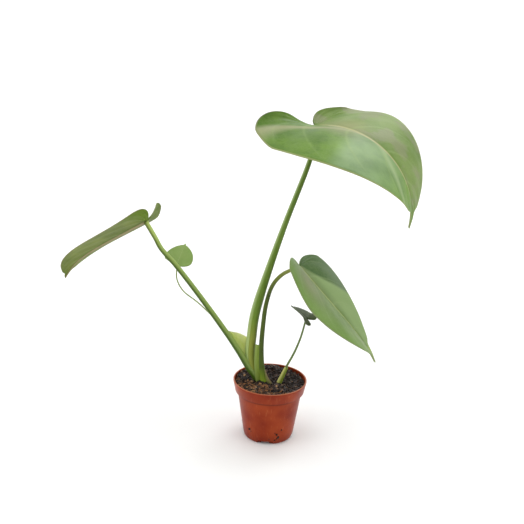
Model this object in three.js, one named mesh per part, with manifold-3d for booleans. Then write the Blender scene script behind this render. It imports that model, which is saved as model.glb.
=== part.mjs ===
// A young swiss cheese plant in a small round nursery pot.
// Millimetres, +Z up. The origin is the centre of the pot's underside, in the plane it stands on.
// +X is to the right and +Y away from someone who looks at the plant's front.
import * as THREE from 'three';
import { mergeVertices } from 'three/addons/utils/BufferGeometryUtils.js';
import Module from 'manifold-3d';

const wasm = await Module();
wasm.setup();

// Driving dimensions of the pot
const POT_HEIGHT = 49;
const RIM_RADIUS = 30;
const COLLAR_BOTTOM = 39.5;
const COLLAR_RADIUS = 28.2;
const SHOULDER_DROP = 2.2;
const BODY_TOP_RADIUS = 26;
const BASE_RADIUS = 20.6;
const BASE_ROUND = 2;
const WALL = 1.1;
const RIM_LIP = 1.5;
const PLATE_UNDERSIDE = 1.5;
const PLATE_THICKNESS = 1.2;
const FOOT_RING_WIDTH = 1;
const NOTCH_COUNT = 4;
const NOTCH_WIDTH = 12.4;
const NOTCH_HEIGHT = 2.9;
const FIRST_NOTCH_ANGLE = -97;
const DRAIN_HOLE_RADIUS = 2.5;
const DRAIN_HOLE_CIRCLE = 11;
const DRAIN_HOLE_COUNT = 4;
const DRAIN_HOLE_SIDES = 16;
const POT_SIDES = 48;

// Driving dimensions of the soil
const GAP = 0.3;
const SOIL_TOP = 47;
const SOIL_CROWN = 1;
const SOIL_BUMP = 0.35;
const SOIL_WAVES = [[0.6, 1.15, 0], [1.2, -0.35, 1], [1.1, 1.7, 2], [2.3, -1.2, 1.6]];
const SOIL_RINGS = 9;
const SOIL_SIDES = 36;
const CHIP_COUNT = 38;
const CHIP_SEED = 7;
const CHIP_FRONT_SHARE = 0.55;
const CHIP_FRONT = { from: -150, spread: 75, nearest: 13, reach: 12 };
const CHIP_ANYWHERE = { from: 0, spread: 360, nearest: 9, reach: 16 };
const CHIP_LENGTHS = [1.8, 4.2];
const CHIP_WIDTHS = [1.1, 2];
const CHIP_DEPTH = 1.6;
const CHIP_TILT = 0.9;

// Driving dimensions shared by the leaves
const BLADE_THICKNESS = 0.8;
const MIDRIB_DEPTH = 0.9;
const MIDRIB_FULL_FROM = 40;
const MIDRIB_SHARE = 0.055;
const SINUS_FOOT = 0.12;
const LOBE_REACH = 0.25;
const LOBE_BLEND = 0.35;

// One half of a leaf blade laid flat: distance along the midrib from the petiole, in leaf lengths
// (the rounded lobe behind the petiole is negative), and distance from the midrib, in half-widths.
const HALF_OUTLINE = [
  [-0.03, 0.022], [-0.1, 0.095], [-0.175, 0.185], [-0.235, 0.32], [-0.25, 0.5], [-0.2, 0.7],
  [-0.09, 0.88], [0.06, 0.985], [0.22, 1], [0.38, 0.92], [0.54, 0.75], [0.69, 0.52], [0.78, 0.34],
  [0.845, 0.205], [0.875, 0.1], [0.93, 0.06], [1, 0],
];

// Each leaf: where the petiole meets the blade, its length and lobe in millimetres, and how it
// hangs, in degrees: heading and sweep turn it about the vertical, pitch and droop bend it down
// towards the tip, and lift raises the lobes. Each half, left and right as seen from the petiole
// towards the tip, has its own width, a fold along the midrib, a curl out to the margin, and a
// fullness, which moves the widest part towards the tip. Its lobe has an extra fold, and a share
// of the width and of the lobe's length.
const LEAVES = {
  large_leaf: {
    junction: [27.9, 15, 253.0], length: 125, lobe: 22,
    heading: -44.5, sweep: 35.1, pitch: 8.8, droop: 108, droopPower: 1.21, lift: 80, roll: 10.3,
    twist: 2.2,
    left: {
      width: 57.2, fullness: 0.32, fold: 6.3, curl: -16,
      lobeFold: 11.2, lobeWidth: 0.79, lobeLength: 0.81,
    },
    right: {
      width: 69.8, fullness: 0.19, fold: 9.5, curl: -19.9,
      lobeFold: 24.6, lobeWidth: 0.96, lobeLength: 0.63,
    },
    rows: 26, columns: 5, colour: 0x5b8f38,
  },
  left_leaf: {
    junction: [-100.5, 2, 177.1], length: 113, lobe: 19,
    heading: 148.5, sweep: 0, pitch: -29, droop: 32, droopPower: 4.7, lift: 36.5, roll: 1.8, twist: 0,
    left: {
      width: 24.7, fullness: 0.71, fold: 15, curl: -13.9,
      lobeFold: 2.5, lobeWidth: 1.18, lobeLength: 0.84,
    },
    right: {
      width: 30.3, fullness: 0.39, fold: 11.1, curl: -8,
      lobeFold: 38.3, lobeWidth: 0.81, lobeLength: 0.55,
    },
    rows: 22, columns: 4, colour: 0x6c8a45,
  },
  right_leaf: {
    junction: [19.1, -14, 149.5], length: 94, lobe: 7,
    heading: -25.5, sweep: 19, pitch: -43.5, droop: 19.5, droopPower: 3.9, lift: -5, roll: -12,
    twist: 19.5,
    left: {
      width: 38.7, fullness: -0.27, fold: 13.5, curl: -2,
      lobeFold: -1, lobeWidth: 1, lobeLength: 0.79,
    },
    right: {
      width: 50.4, fullness: 0.3, fold: 20.1, curl: -40,
      lobeFold: 1.3, lobeWidth: 0.8, lobeLength: 0.96,
    },
    rows: 22, columns: 4, colour: 0x6d9a55,
  },
  young_leaf: {
    junction: [26.9, -4, 104.3], length: 16, lobe: 6.5,
    heading: 154.5, sweep: 0, pitch: 30.4, droop: -1, droopPower: 1.3, lift: 4, roll: 7.7, twist: 13.5,
    left: {
      width: 10.3, fullness: 0, fold: 21, curl: -11.4,
      lobeFold: -35, lobeWidth: 0.8, lobeLength: 1,
    },
    right: {
      width: 10.6, fullness: 0, fold: 18.6, curl: -17.2,
      lobeFold: 32, lobeWidth: 0.9, lobeLength: 1,
    },
    rows: 14, columns: 3, colour: 0x3c5a3a,
  },
  back_leaf: {
    junction: [-77.5, 14, 140.9], length: 25.4, lobe: 4.3,
    heading: 79, sweep: 1.6, pitch: 28.7, droop: 10, droopPower: 1.3, lift: 14, roll: 9.3, twist: -0.7,
    left: {
      width: 11.3, fullness: 0.05, fold: 15, curl: -11,
      lobeFold: 18, lobeWidth: 1, lobeLength: 1,
    },
    right: {
      width: 11.3, fullness: 0.05, fold: 9.3, curl: -12,
      lobeFold: 6.7, lobeWidth: 1, lobeLength: 1,
    },
    rows: 14, columns: 3, colour: 0x7fae4e,
  },
};

// Leaf stalks: centre line from the crown to the blade, as x, y, z and radius. The last point is
// worked out from the blade, which the stalk stops just short of.
const STALKS = {
  left_leaf: {
    path: [
      [-8.5, -1, 43, 2.6], [-12.2, -0.8, 51.2, 2.9], [-18.3, -0.4, 59.7, 2.9], [-24.7, 0, 70.2, 2.6],
      [-35.1, 0, 86, 2.3], [-57.9, 0, 118.1, 2.1], [-76.8, 0, 142.9, 2], [-88.5, 0.5, 156.2, 1.9],
      [-92.9, 1, 164.2, 1.85],
    ],
    topRadius: 1.9, sides: 10, depthRatio: 1, colour: 0x6f9440,
  },
  large_leaf: {
    path: [
      [-8.5, 0, 43, 3], [-11.5, 0.4, 51, 3.4], [-15.4, 1.2, 61, 3.8], [-16.8, 2, 70, 4],
      [-16, 2, 85.3, 4], [-14.5, 2, 100.6, 3.9], [-11.2, 2, 116, 3.7], [-4.2, 3, 141, 3],
      [7, 5, 177, 2.3], [23.7, 10, 225, 1.9], [26.5, 12, 236.2, 1.8],
    ],
    topRadius: 1.6, sides: 12, depthRatio: 0.85, colour: 0x77993f,
  },
  right_leaf: {
    path: [
      [-4.6, -2.8, 43, 3.6], [-5.2, -3, 48, 3.4], [-6.4, -3.2, 55, 2.7], [-7.5, -3.6, 64, 2.3],
      [-8, -4, 78, 2], [-7.2, -5, 97, 1.8], [-5.3, -7, 116, 1.7], [-0.6, -10, 133, 1.6],
      [6.7, -12, 142.4, 1.5],
    ],
    topRadius: 1.4, sides: 10, depthRatio: 1, colour: 0x5a7d33,
  },
  young_leaf: {
    path: [
      [5, -4, 41, 1], [7, -4, 47.2, 0.95], [12.7, -3.3, 61.2, 0.9], [18.6, -3, 73.8, 0.85],
      [23, -3.5, 86.6, 0.8], [25.3, -4, 96.7, 0.75],
    ],
    topRadius: 0.75, sides: 8, depthRatio: 1, colour: 0x587a3a,
  },
  back_leaf: {
    path: [
      [-12, 8, 41, 0.65], [-13.2, 7.6, 46.6, 0.6], [-17.5, 8, 53.2, 0.6], [-24.5, 9, 65, 0.6],
      [-33.9, 10, 79.4, 0.6], [-42.3, 11, 90.9, 0.6], [-52.2, 12, 100.7, 0.55],
      [-61.1, 13, 108.5, 0.55], [-73.2, 14, 117.9, 0.55], [-78, 14, 127.8, 0.55],
    ],
    topRadius: 0.55, sides: 6, depthRatio: 1, colour: 0x9dbb62,
  },
};
const STEPS_PER_SPAN = 2;
const TOP_TILT = 0.3;

// The short main stem, mostly under the soil
const STEM = {
  centre: [-8.2, 0.4], bottom: 18, top: 54, radius: 3.2, topRadius: 2.4, bevel: 1, sides: 12,
};

// Sheaths: the wings along the lowest part of a stalk, from a line on the stalk to a free edge
const SHEATH_THICKNESS = 0.7;
const SHEATH_ROWS = 9;
const SHEATH_COLUMNS = 4;
const SHEATHS = {
  left_leaf: {
    onStalk: [[-11, 0, 48], [-18.3, 0.4, 59.5], [-24.7, 0.6, 70.2], [-33.8, 0.6, 88]],
    freeEdge: [
      [-6, 4.6, 48], [-9, 7.2, 58], [-13.5, 8.8, 70], [-18, 8.2, 79.5], [-25.9, 4.5, 86],
      [-33.2, 1, 88.6],
    ],
    bulge: [-1.2, 2.2, 0],
  },
  right_leaf: {
    onStalk: [[-6.2, -3.6, 46], [-7.2, -3.8, 57], [-8, -4.2, 67], [-8.3, -4.6, 80.5]],
    freeEdge: [[-11, -4.2, 46], [-12.6, -3.6, 56], [-13.3, -3.2, 68], [-12.7, -3.6, 80.3]],
    bulge: [0, -1, 0],
  },
};

// The papery scale leaf round the foot of the young leaf's stalk, open on its back
const SCALE_LEAF = {
  from: 0.15, to: 2, baseRadius: 3.1, tipRadius: 1.55, thickness: 0.6,
  faces: 200, opening: 110, rows: 7, columns: 10, colour: 0xb7c24e,
};

const MERGE_DISTANCE = 1e-3;
const radians = THREE.MathUtils.degToRad;

// Helpers that turn geometry into solids and back
function toSolid(geometry) {
  const bare = geometry.clone();
  bare.deleteAttribute('normal');
  bare.deleteAttribute('uv');
  const merged = mergeVertices(bare, MERGE_DISTANCE);
  const corners = [];
  for (let i = 0; i < merged.index.count; i += 3) {
    const [a, b, c] = [0, 1, 2].map((k) => merged.index.getX(i + k));
    if (a !== b && b !== c && c !== a) corners.push(a, b, c);
  }
  const solid = new wasm.Manifold(new wasm.Mesh({
    numProp: 3,
    vertProperties: Float32Array.from(merged.attributes.position.array),
    triVerts: Uint32Array.from(corners),
  }));
  return solid.volume() < 0 ? flipped(geometry) : solid;
}

function flipped(geometry) {
  const turned = geometry.clone();
  const order = Array.from(turned.index.array);
  for (let i = 0; i < order.length; i += 3) [order[i], order[i + 1]] = [order[i + 1], order[i]];
  turned.setIndex(order);
  return toSolid(turned);
}

function fromSolid(solid) {
  const mesh = solid.getMesh();
  const geometry = new THREE.BufferGeometry();
  geometry.setAttribute('position', new THREE.BufferAttribute(mesh.vertProperties, 3));
  geometry.setIndex(Array.from(mesh.triVerts));
  geometry.computeVertexNormals();
  return geometry;
}

function largestPiece(solid) {
  const pieces = solid.decompose();
  return pieces.reduce((best, piece) => (piece.volume() > best.volume() ? piece : best));
}

function indexedGeometry(points, corners) {
  const geometry = new THREE.BufferGeometry();
  const flat = points.flatMap((p) => [p.x, p.y, p.z]);
  geometry.setAttribute('position', new THREE.Float32BufferAttribute(flat, 3));
  geometry.setIndex(corners);
  return geometry;
}

// A thin sheet of triangles becomes a closed blade: each point is moved along its own normal by
// above on one face and below on the other, and a strip closes the free edge.
function thickenSheet(points, corners, above, below) {
  const sheet = mergeVertices(indexedGeometry(points, corners), MERGE_DISTANCE);
  const place = sheet.attributes.position;
  const first = new Map();
  points.forEach((p, i) => {
    for (let k = 0; k < place.count; k += 1) {
      const distance = p.distanceTo(new THREE.Vector3().fromBufferAttribute(place, k));
      if (!first.has(k) && distance < 2 * MERGE_DISTANCE) first.set(k, i);
    }
  });
  const triangles = [];
  for (let i = 0; i < sheet.index.count; i += 3) {
    const triangle = [0, 1, 2].map((k) => sheet.index.getX(i + k));
    if (new Set(triangle).size === 3) triangles.push(triangle);
  }
  sheet.setIndex(triangles.flat());
  sheet.computeVertexNormals();
  const top = [];
  const bottom = [];
  for (let k = 0; k < place.count; k += 1) {
    const p = new THREE.Vector3().fromBufferAttribute(place, k);
    const n = new THREE.Vector3().fromBufferAttribute(sheet.attributes.normal, k);
    top.push(p.clone().addScaledVector(n, above[first.get(k)]));
    bottom.push(p.clone().addScaledVector(n, -below[first.get(k)]));
  }
  const shift = place.count;
  const faces = [];
  const edges = new Map();
  triangles.forEach(([a, b, c]) => {
    faces.push(a, b, c, a + shift, c + shift, b + shift);
    [[a, b], [b, c], [c, a]].forEach(([from, to]) => edges.set(`${from},${to}`, [from, to]));
  });
  edges.forEach(([from, to]) => {
    if (edges.has(`${to},${from}`)) return;
    faces.push(to, from, from + shift, to, from + shift, to + shift);
  });
  return indexedGeometry([...top, ...bottom], faces);
}

// Midrib of a leaf: place, direction to the left and upward normal at a distance x from the stalk
const SPINE_STEPS = 120;
function spineOf(leaf) {
  const stations = [];
  const place = new THREE.Vector3();
  const step = (leaf.length + leaf.lobe) / SPINE_STEPS;
  for (let i = 0; i <= SPINE_STEPS; i += 1) {
    const x = -leaf.lobe + i * step;
    const along = Math.max(x, 0) / leaf.length;
    const pitch = x >= 0
      ? radians(leaf.pitch - leaf.droop * along ** leaf.droopPower)
      : radians(leaf.pitch + leaf.lift * (x / leaf.lobe));
    const heading = radians(leaf.heading + leaf.sweep * along);
    const roll = radians(leaf.roll + leaf.twist * (x / leaf.length));
    const tangent = new THREE.Vector3(
      Math.cos(heading) * Math.cos(pitch), Math.sin(heading) * Math.cos(pitch), Math.sin(pitch));
    const side = new THREE.Vector3(-Math.sin(heading), Math.cos(heading), 0);
    const normal = tangent.clone().cross(side);
    const left = side.clone().multiplyScalar(Math.cos(roll)).addScaledVector(normal, Math.sin(roll));
    const up = normal.multiplyScalar(Math.cos(roll)).addScaledVector(side, -Math.sin(roll));
    if (i > 0) {
      place.addScaledVector(stations[i - 1].tangent, step / 2).addScaledVector(tangent, step / 2);
    }
    stations.push({ place: place.clone(), tangent, left, up });
  }
  const sample = (x) => {
    const at = THREE.MathUtils.clamp((x + leaf.lobe) / step, 0, SPINE_STEPS);
    const i = Math.min(Math.floor(at), SPINE_STEPS - 1);
    const mix = (name) => stations[i][name].clone().lerp(stations[i + 1][name], at - i);
    return { place: mix('place'), left: mix('left'), up: mix('up') };
  };
  const shift = new THREE.Vector3(...leaf.junction).sub(sample(0).place);
  return (x) => {
    const station = sample(x);
    station.place.add(shift);
    return station;
  };
}

// A point of the blade: x along the midrib, y out from it, on the left (1) or right (-1) half.
// Each half leaves the midrib at its fold angle and curls steadily towards its margin.
function bladePoint(leaf, spine, half, x, y) {
  const shape = half > 0 ? leaf.left : leaf.right;
  const footLength = SINUS_FOOT * leaf.length;
  const backward = THREE.MathUtils.smoothstep(footLength - x, 0, footLength + leaf.lobe);
  const fold = radians(shape.fold + shape.lobeFold * backward);
  const curl = radians(shape.curl) / shape.width;
  const outward = (Math.sin(fold + curl * y) - Math.sin(fold)) / curl;
  const upward = (Math.cos(fold) - Math.cos(fold + curl * y)) / curl;
  const { place, left, up } = spine(x);
  return place.addScaledVector(left, half * outward).addScaledVector(up, upward);
}

// Depth of the midrib below the blade at the petiole, less on a small leaf
function ribDepth(leaf) {
  return MIDRIB_DEPTH * Math.min(1, leaf.left.width / MIDRIB_FULL_FROM);
}

function bladeSheet(leaf, half) {
  const spine = spineOf(leaf);
  const outline = new THREE.SplineCurve(HALF_OUTLINE.map(([x, y]) => new THREE.Vector2(x, y)));
  const shape = half > 0 ? leaf.left : leaf.right;
  const points = [];
  const depths = [];
  for (let row = 0; row <= leaf.rows; row += 1) {
    const edge = outline.getPoint(row / leaf.rows);
    const x = edge.x < 0
      ? (edge.x / LOBE_REACH) * leaf.lobe * shape.lobeLength
      : (edge.x + shape.fullness * edge.x * (1 - edge.x)) * leaf.length;
    const forward = THREE.MathUtils.smoothstep(x, -leaf.lobe, LOBE_BLEND * leaf.length);
    const y = Math.max(edge.y, 0) * shape.width * THREE.MathUtils.lerp(shape.lobeWidth, 1, forward);
    const foot = (Math.max(0, edge.x - SINUS_FOOT) / (1 - SINUS_FOOT)) * leaf.length;
    for (let column = 0; column <= leaf.columns; column += 1) {
      const outer = (column - 1) / (leaf.columns - 1);
      const share = column === 0 ? 0 : THREE.MathUtils.lerp(MIDRIB_SHARE, 1, outer);
      points.push(bladePoint(leaf, spine, half, foot + (x - foot) * share, y * share));
      const rib = column === 0 ? ribDepth(leaf) * (1 - foot / leaf.length) : 0;
      depths.push(BLADE_THICKNESS / 2 + rib);
    }
  }
  const corners = [];
  const across = leaf.columns + 1;
  for (let row = 0; row < leaf.rows; row += 1) {
    for (let column = 0; column < leaf.columns; column += 1) {
      const a = row * across + column;
      const [b, c, d] = [a + across, a + across + 1, a + 1];
      if (half > 0) corners.push(a, b, c, a, c, d);
      else corners.push(a, c, b, a, d, c);
    }
  }
  return { points, corners, depths };
}

function bladeGeometry(leaf) {
  const left = bladeSheet(leaf, 1);
  const right = bladeSheet(leaf, -1);
  const points = [...left.points, ...right.points];
  const corners = [...left.corners, ...right.corners.map((i) => i + left.points.length)];
  const above = points.map(() => BLADE_THICKNESS / 2);
  return thickenSheet(points, corners, above, [...left.depths, ...right.depths]);
}

// A tapering stalk: an oval ring at each step of a smooth centre line, closed at both ends
function stalkGeometry(path, sides, depthRatio, grow) {
  const line = new THREE.CatmullRomCurve3(path.map(([x, y, z]) => new THREE.Vector3(x, y, z)));
  const steps = (path.length - 1) * STEPS_PER_SPAN;
  const points = [];
  const backward = new THREE.Vector3(0, 1, 0);
  for (let i = 0; i <= steps; i += 1) {
    const at = (i / steps) * (path.length - 1);
    const before = Math.min(Math.floor(at), path.length - 2);
    const radius = THREE.MathUtils.lerp(path[before][3], path[before + 1][3], at - before) + grow;
    const centre = line.getPoint(i / steps);
    const tangent = line.getTangent(i / steps);
    const across = tangent.clone().cross(backward).normalize();
    const deep = tangent.clone().cross(across);
    for (let k = 0; k < sides; k += 1) {
      const angle = (2 * Math.PI * k) / sides;
      points.push(centre.clone().addScaledVector(across, radius * Math.cos(angle))
        .addScaledVector(deep, radius * depthRatio * Math.sin(angle)));
    }
  }
  points.push(line.getPoint(0), line.getPoint(1));
  const corners = [];
  for (let i = 0; i < steps; i += 1) {
    for (let k = 0; k < sides; k += 1) {
      const next = (k + 1) % sides;
      const [a, b] = [i * sides + k, i * sides + next];
      corners.push(a, b, b + sides, a, b + sides, a + sides);
    }
  }
  for (let k = 0; k < sides; k += 1) {
    const next = (k + 1) % sides;
    corners.push(points.length - 2, next, k);
    corners.push(points.length - 1, steps * sides + k, steps * sides + next);
  }
  return indexedGeometry(points, corners);
}

// The stalk's end: straight under the blade, a gap short of the midrib's underside
function stalkPath(name) {
  const { place, up } = spineOf(LEAVES[name])(0);
  const { path, topRadius } = STALKS[name];
  const drop = BLADE_THICKNESS / 2 + ribDepth(LEAVES[name]) + GAP + TOP_TILT * topRadius;
  place.addScaledVector(up, -drop);
  return [...path, [place.x, place.y, place.z, topRadius]];
}

function stalkSolid(name, grow) {
  const { sides, depthRatio } = STALKS[name];
  const stalk = toSolid(stalkGeometry(stalkPath(name), sides, depthRatio, grow));
  if (!SHEATHS[name]) return stalk;
  return stalk.add(toSolid(sheathGeometry(SHEATHS[name], SHEATH_THICKNESS / 2 + grow)));
}

function sheathGeometry({ onStalk, freeEdge, bulge }, halfThickness) {
  const [inner, outer] = [onStalk, freeEdge].map(
    (list) => new THREE.CatmullRomCurve3(list.map((p) => new THREE.Vector3(...p))));
  const swell = new THREE.Vector3(...bulge);
  const points = [];
  for (let row = 0; row <= SHEATH_ROWS; row += 1) {
    for (let column = 0; column <= SHEATH_COLUMNS; column += 1) {
      const share = column / SHEATH_COLUMNS;
      const p = inner.getPoint(row / SHEATH_ROWS).lerp(outer.getPoint(row / SHEATH_ROWS), share);
      points.push(p.addScaledVector(swell, Math.sin(Math.PI * share)));
    }
  }
  return gridBlade(points, SHEATH_ROWS, SHEATH_COLUMNS, halfThickness);
}

function gridBlade(points, rows, columns, halfThickness) {
  const corners = [];
  for (let row = 0; row < rows; row += 1) {
    for (let column = 0; column < columns; column += 1) {
      const a = row * (columns + 1) + column;
      const b = a + columns + 1;
      corners.push(a, b, b + 1, a, b + 1, a + 1);
    }
  }
  const halves = points.map(() => halfThickness);
  return thickenSheet(points, corners, halves, halves);
}

function scaleLeafGeometry() {
  const path = stalkPath('young_leaf');
  const line = new THREE.CatmullRomCurve3(path.map(([x, y, z]) => new THREE.Vector3(x, y, z)));
  const { from, to, baseRadius, tipRadius, thickness, faces, opening, rows, columns } = SCALE_LEAF;
  const points = [];
  for (let row = 0; row <= rows; row += 1) {
    const share = row / rows;
    for (let column = 0; column <= columns; column += 1) {
      const turn = (column / columns - 0.5) * (360 - opening);
      const at = (from + (to - from) * share) / (path.length - 1);
      const centre = line.getPoint(at);
      const across = line.getTangent(at).cross(new THREE.Vector3(0, 1, 0)).normalize();
      const radius = THREE.MathUtils.lerp(baseRadius, tipRadius, share);
      const angle = radians(faces + turn);
      centre.addScaledVector(across, radius * Math.cos(angle));
      points.push(centre.add(new THREE.Vector3(0, radius * Math.sin(angle), 0)));
    }
  }
  return gridBlade(points, rows, columns, thickness / 2);
}

// Pot: outside radius at a height, from the foot past the shoulder to the rim
function wallRadius(z) {
  const shoulder = COLLAR_BOTTOM - SHOULDER_DROP;
  if (z < shoulder) {
    return THREE.MathUtils.mapLinear(z, BASE_ROUND, shoulder, BASE_RADIUS, BODY_TOP_RADIUS);
  }
  if (z < COLLAR_BOTTOM) {
    return THREE.MathUtils.mapLinear(z, shoulder, COLLAR_BOTTOM, BODY_TOP_RADIUS, COLLAR_RADIUS);
  }
  return THREE.MathUtils.mapLinear(z, COLLAR_BOTTOM, POT_HEIGHT - RIM_LIP, COLLAR_RADIUS, RIM_RADIUS);
}

function turned(profile, sides) {
  const outline = profile.map(([r, z]) => new THREE.Vector2(r, z));
  return new THREE.LatheGeometry(outline, sides).rotateX(Math.PI / 2);
}

function potSolid() {
  const plateTop = PLATE_UNDERSIDE + PLATE_THICKNESS;
  const shoulder = COLLAR_BOTTOM - SHOULDER_DROP;
  const ringInside = BASE_RADIUS - BASE_ROUND - FOOT_RING_WIDTH;
  const roundMiddle = BASE_ROUND * (1 - Math.SQRT1_2);
  const profile = [
    [0, PLATE_UNDERSIDE], [ringInside, PLATE_UNDERSIDE], [ringInside, 0],
    [BASE_RADIUS - BASE_ROUND, 0], [BASE_RADIUS - roundMiddle, roundMiddle],
    [BASE_RADIUS, BASE_ROUND],
    [BODY_TOP_RADIUS, shoulder], [COLLAR_RADIUS, COLLAR_BOTTOM],
    [RIM_RADIUS, POT_HEIGHT - RIM_LIP], [RIM_RADIUS, POT_HEIGHT],
    [RIM_RADIUS - WALL, POT_HEIGHT], [RIM_RADIUS - WALL, POT_HEIGHT - RIM_LIP],
    [COLLAR_RADIUS - WALL, COLLAR_BOTTOM],
    [BODY_TOP_RADIUS - WALL, shoulder], [wallRadius(plateTop) - WALL, plateTop], [0, plateTop],
  ];
  let pot = toSolid(turned(profile, POT_SIDES));
  for (let i = 0; i < NOTCH_COUNT; i += 1) {
    const angle = radians(FIRST_NOTCH_ANGLE + (360 * i) / NOTCH_COUNT);
    const notch = new THREE.BoxGeometry(BASE_RADIUS, NOTCH_WIDTH, 2 * NOTCH_HEIGHT);
    notch.translate(BASE_RADIUS / 2 + ringInside - GAP, 0, 0).rotateZ(angle);
    pot = pot.subtract(toSolid(notch));
  }
  for (let i = 0; i < DRAIN_HOLE_COUNT; i += 1) {
    const angle = radians(FIRST_NOTCH_ANGLE + (360 * (i + 0.5)) / DRAIN_HOLE_COUNT);
    const hole = new THREE.CylinderGeometry(
      DRAIN_HOLE_RADIUS, DRAIN_HOLE_RADIUS, 3 * plateTop, DRAIN_HOLE_SIDES);
    hole.rotateX(Math.PI / 2);
    hole.translate(DRAIN_HOLE_CIRCLE * Math.cos(angle), DRAIN_HOLE_CIRCLE * Math.sin(angle), 0);
    pot = pot.subtract(toSolid(hole));
  }
  return pot;
}

// Soil: follows the inside of the wall, with a slightly domed, lumpy top
function soilHeight(x, y) {
  const dome = SOIL_CROWN * (1 - (x * x + y * y) / RIM_RADIUS ** 2);
  const lumps = SOIL_WAVES.map(([alongX, alongY, shift]) => Math.sin(alongX * x + alongY * y + shift));
  return SOIL_TOP + dome + SOIL_BUMP * lumps.reduce((sum, lump) => sum + lump, 0);
}

function seededRandom(seed) {
  let state = seed;
  return () => {
    state = (state * 16807) % 2147483647;
    return state / 2147483647;
  };
}

function barkChip(random) {
  const patch = random() < CHIP_FRONT_SHARE ? CHIP_FRONT : CHIP_ANYWHERE;
  const angle = radians(patch.from + patch.spread * random());
  const distance = patch.nearest + patch.reach * random();
  const [x, y] = [distance * Math.cos(angle), distance * Math.sin(angle)];
  const [length, width] = [CHIP_LENGTHS, CHIP_WIDTHS].map(
    ([least, most]) => THREE.MathUtils.lerp(least, most, random()));
  const chip = new THREE.BoxGeometry(length, width, CHIP_DEPTH);
  chip.rotateX(CHIP_TILT * (random() - 0.5)).rotateY(CHIP_TILT * (random() - 0.5));
  chip.rotateZ(Math.PI * random());
  return chip.translate(x, y, soilHeight(x, y));
}

function soilSolid(planted) {
  const inset = WALL + GAP;
  const bottom = PLATE_UNDERSIDE + PLATE_THICKNESS + GAP;
  const shoulder = COLLAR_BOTTOM - SHOULDER_DROP;
  const edge = wallRadius(SOIL_TOP) - inset;
  const profile = [
    [0, bottom], [wallRadius(bottom) - inset, bottom], [BODY_TOP_RADIUS - inset, shoulder],
    [COLLAR_RADIUS - inset, COLLAR_BOTTOM + GAP], [edge, SOIL_TOP - SOIL_BUMP],
  ];
  for (let ring = 1; ring <= SOIL_RINGS; ring += 1) {
    profile.push([edge * (1 - ring / SOIL_RINGS), SOIL_TOP]);
  }
  const body = turned(profile, SOIL_SIDES);
  const place = body.attributes.position;
  for (let i = 0; i < place.count; i += 1) {
    if (place.getZ(i) > SOIL_TOP - SOIL_BUMP / 2) {
      place.setZ(i, soilHeight(place.getX(i), place.getY(i)));
    }
  }
  const random = seededRandom(CHIP_SEED);
  let soil = toSolid(body);
  for (let i = 0; i < CHIP_COUNT; i += 1) soil = soil.add(toSolid(barkChip(random)));
  planted.forEach((solid) => { soil = soil.subtract(solid); });
  return largestPiece(soil);
}

function stemSolid(grow) {
  const { centre, bottom, top, radius, topRadius, bevel, sides } = STEM;
  const profile = [
    [0, bottom - grow], [radius + grow, bottom - grow], [radius + grow, SOIL_TOP],
    [topRadius + grow, top - bevel], [topRadius - bevel + grow, top + grow], [0, top + grow],
  ];
  return toSolid(turned(profile, sides).translate(...centre, 0));
}

// The plant is put together from the inside out: each piece gives way to those before it
const plant = new THREE.Group();

function addPiece(name, geometry, colour, roughness) {
  const material = new THREE.MeshStandardMaterial({ color: colour, roughness, metalness: 0 });
  const mesh = new THREE.Mesh(geometry, material);
  mesh.name = name;
  plant.add(mesh);
}

const stem = stemSolid(0);
const clearances = [stemSolid(GAP)];
addPiece('main_stem', fromSolid(stem), 0x7a8a4a, 0.6);

for (const name of Object.keys(STALKS)) {
  let stalk = stalkSolid(name, 0);
  clearances.forEach((taken) => { stalk = stalk.subtract(taken); });
  clearances.push(stalkSolid(name, GAP));
  addPiece(`${name}_stalk`, fromSolid(largestPiece(stalk)), STALKS[name].colour, 0.45);
}

for (const [name, leaf] of Object.entries(LEAVES)) {
  addPiece(`${name}_blade`, bladeGeometry(leaf), leaf.colour, 0.35);
}

addPiece('young_leaf_scale', scaleLeafGeometry(), SCALE_LEAF.colour, 0.5);
const scaleStem = stalkPath('young_leaf').slice(0, 3);
clearances.push(toSolid(stalkGeometry(
  scaleStem, STALKS.young_leaf.sides, 1, SCALE_LEAF.baseRadius)));
addPiece('soil', fromSolid(soilSolid(clearances)), 0x2b1f17, 0.95);
addPiece('pot', fromSolid(potSolid()), 0xb4552f, 0.4);

export default plant;
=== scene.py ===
# %% [markdown]
# # A young swiss cheese plant in a nursery pot
# The plant has a few large leaves on long stalks, and a small plastic pot filled with dark soil.
# Its measured solids come first, as a fixed frame. Every piece made below is laid over them, in
# metres, so the looks can be worked on without changing a single size.

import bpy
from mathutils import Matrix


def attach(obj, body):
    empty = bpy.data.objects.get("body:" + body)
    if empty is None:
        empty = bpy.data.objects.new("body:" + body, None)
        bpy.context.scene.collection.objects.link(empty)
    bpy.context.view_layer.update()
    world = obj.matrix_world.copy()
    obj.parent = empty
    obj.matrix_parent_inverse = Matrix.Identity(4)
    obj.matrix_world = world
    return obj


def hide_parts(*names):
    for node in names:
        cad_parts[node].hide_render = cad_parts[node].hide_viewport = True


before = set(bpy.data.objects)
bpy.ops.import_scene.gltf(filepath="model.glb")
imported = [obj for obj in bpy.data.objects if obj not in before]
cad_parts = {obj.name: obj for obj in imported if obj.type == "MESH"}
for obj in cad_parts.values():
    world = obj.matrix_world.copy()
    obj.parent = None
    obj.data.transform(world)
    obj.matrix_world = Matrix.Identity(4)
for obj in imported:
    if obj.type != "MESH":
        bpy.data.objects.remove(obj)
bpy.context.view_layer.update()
print("measured solids:", ", ".join(sorted(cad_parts)))

# %% [markdown]
# ## The camera
# The camera looks a little down on the pot, from half a metre away. A 48 mm lens on a 36 mm wide
# sensor gives the same perspective as the photograph, and the small roll is the tilt with which
# the picture was taken. A camera can be aimed with a constraint, but a matrix built from its three
# directions is exact and easy to read.

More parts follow.
